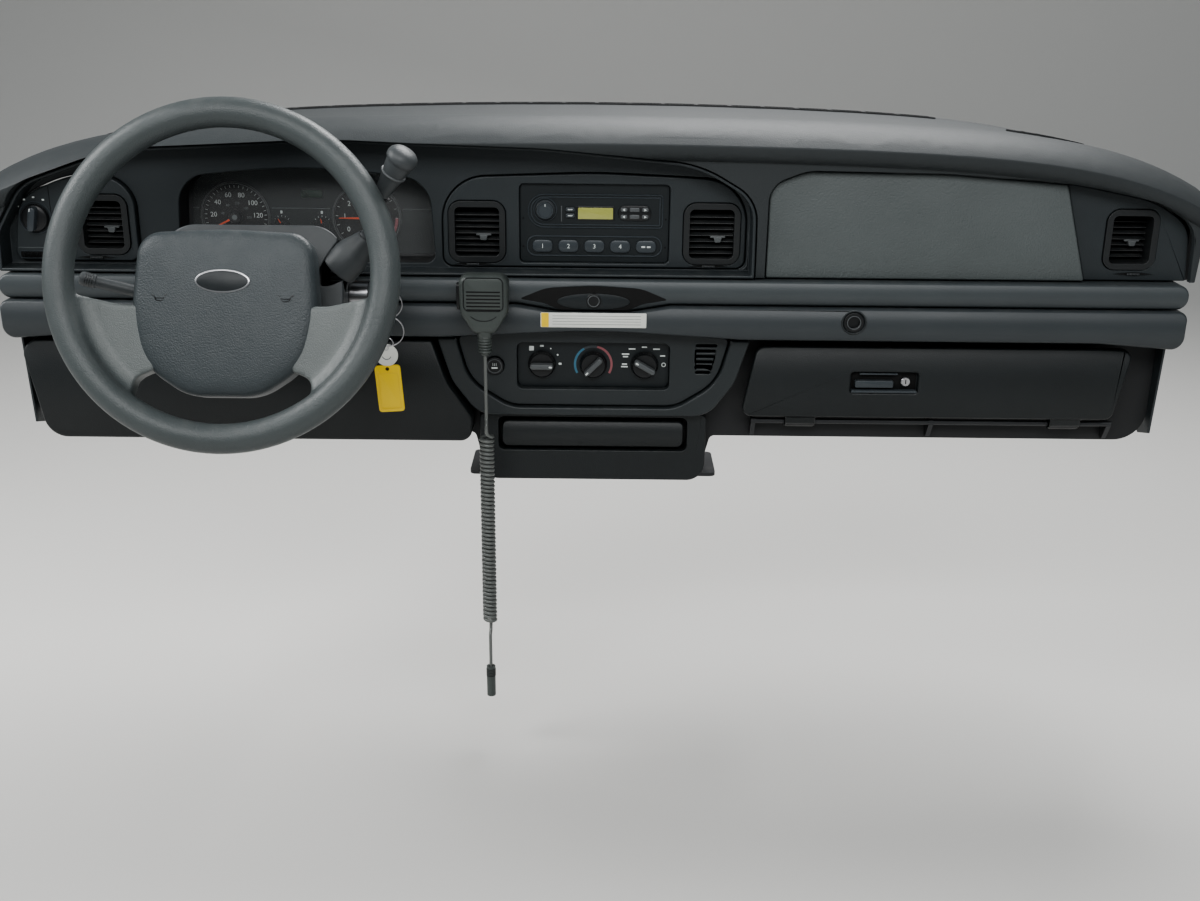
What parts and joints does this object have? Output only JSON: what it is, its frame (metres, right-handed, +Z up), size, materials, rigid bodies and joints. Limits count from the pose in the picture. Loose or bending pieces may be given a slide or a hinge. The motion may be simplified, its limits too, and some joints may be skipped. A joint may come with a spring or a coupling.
{
  "type": "car instrument panel with steering wheel",
  "caption": "Full-width dashboard of a patrol car with gauges, radio, climate panel, glove box, ashtray, tilting column, steering wheel and a hand microphone on its clip.",
  "frame": {"origin": "middle of the four bolt holes in the cross beam's end flanges, on their front faces", "axes": "+X across the car to the passenger's side, +Y forwards to the engine, +Z up"},
  "size_m": [1.52, 0.6689, 0.8041],
  "materials": {
    "pad_skin": "padded charcoal skin with a fine grain and a soft sheen",
    "grille_plastic": "moulded black plastic, matt",
    "carrier_plastic": "moulded black plastic, matt, ungrained",
    "duct_plastic": "blow-moulded dark grey plastic",
    "beam_steel": "steel with a dark dip coat",
    "column_steel": "cast and drawn steel, satin black paint",
    "shaft_steel": "turned steel",
    "trim_plastic": "charcoal moulding with a fine grain",
    "airbag_skin": "lighter grey moulding with a coarse leather grain",
    "rail_plastic": "charcoal moulding, semi-gloss, fine grain",
    "lower_plastic": "dark charcoal moulding, matt grain",
    "control_plastic": "black moulding, satin",
    "dial_face": "matt black with white numbers",
    "needle_red": "orange red",
    "lens_clear": "clear smoked sheet",
    "shroud_plastic": "charcoal moulding with a fine grain",
    "lock_metal": "satin plated",
    "tag_plastic": "yellow tag on a white disc and a steel ring",
    "wheel_urethane": "dark urethane with a leather grain, worn smooth",
    "hub_skin": "charcoal urethane with a pebbled grain",
    "mic_plastic": "dark grey moulding, satin",
    "cord_rubber": "black curly lead"
  },
  "bodies": {
    "root": {"carrier": "carrier_plastic", "lower_carrier": "carrier_plastic", "top_pad": "pad_skin", "defroster_grille": "grille_plastic", "demister_inserts": "grille_plastic", "cross_beam": "beam_steel", "tunnel_brace": "beam_steel", "air_duct": "duct_plastic", "end_caps": "trim_plastic", "driver_bezel": "trim_plastic", "gauge_housing": "carrier_plastic", "dial_plate": "dial_face", "needles": "needle_red", "gauge_lens": "lens_clear", "switch_panel": "trim_plastic", "headlamp_knob": "control_plastic", "left_vent": "control_plastic", "left_centre_vent": "control_plastic", "right_centre_vent": "control_plastic", "right_vent": "control_plastic", "centre_panel": "trim_plastic", "radio": "control_plastic", "radio_controls": "control_plastic", "airbag_door": "airbag_skin", "end_panel": "trim_plastic", "trim_rail": "rail_plastic", "release_button": "control_plastic", "lower_band": "rail_plastic", "socket_cap": "control_plastic", "knee_panel": "lower_plastic", "climate_bezel": "lower_plastic", "stack_surround": "rail_plastic", "climate_face": "control_plastic", "climate_knobs": "control_plastic", "lighter": "control_plastic", "lower_centre": "lower_plastic", "tray_sleeve": "carrier_plastic", "glove_hinge": "beam_steel", "column_jacket": "column_steel", "column_bracket": "beam_steel", "mic_clip": "mic_plastic", "hand_mic": "mic_plastic", "mic_lead": "cord_rubber", "mic_coil": "cord_rubber", "mic_plug": "mic_plastic"},
    "ash_tray": {"ash_tray": "lower_plastic"},
    "glove_box": {"glove_door": "lower_plastic", "glove_bin": "lower_plastic", "glove_latch": "control_plastic"},
    "tilt_head": {"tilt_head": "column_steel", "column_shroud": "shroud_plastic", "ignition_lock": "lock_metal", "key_tags": "tag_plastic", "turn_stalk": "shroud_plastic", "shift_lever": "shroud_plastic"},
    "steering_wheel": {"wheel_rim": "wheel_urethane", "hub_cover": "hub_skin", "wheel_back": "shroud_plastic", "steering_shaft": "shaft_steel"},
    "lower_shaft": {"lower_shaft": "shaft_steel"}
  },
  "joints": [
    {"name": "column_tilt", "type": "hinge", "parent": "root", "child": "tilt_head", "pos_m": [-0.41, -0.18642, 0.01254], "axis": [1, 0, 0], "range_deg": [-9, 9]},
    {"name": "steering", "type": "hinge", "parent": "tilt_head", "child": "steering_wheel", "pos_m": [-0.41, -0.38, 0.083], "axis": [0, -0.9397, 0.342], "range_deg": [-540, 540]},
    {"name": "shaft_turn", "type": "hinge", "parent": "root", "child": "lower_shaft", "pos_m": [-0.41, 0.14623, -0.10853], "axis": [0, -0.9397, 0.342], "range_deg": [-540, 540]},
    {"name": "glove_box_door", "type": "hinge", "parent": "root", "child": "glove_box", "pos_m": [0.45, -0.143, -0.156], "axis": [1, 0, 0], "range_deg": [0, 50]},
    {"name": "ash_tray_slide", "type": "slide", "parent": "root", "child": "ash_tray", "axis": [0, -1, 0], "range_m": [0, 0.09]}
  ],
  "couplings": [
    {"joint": "shaft_turn", "follows": "steering", "ratio": 1}
  ]
}
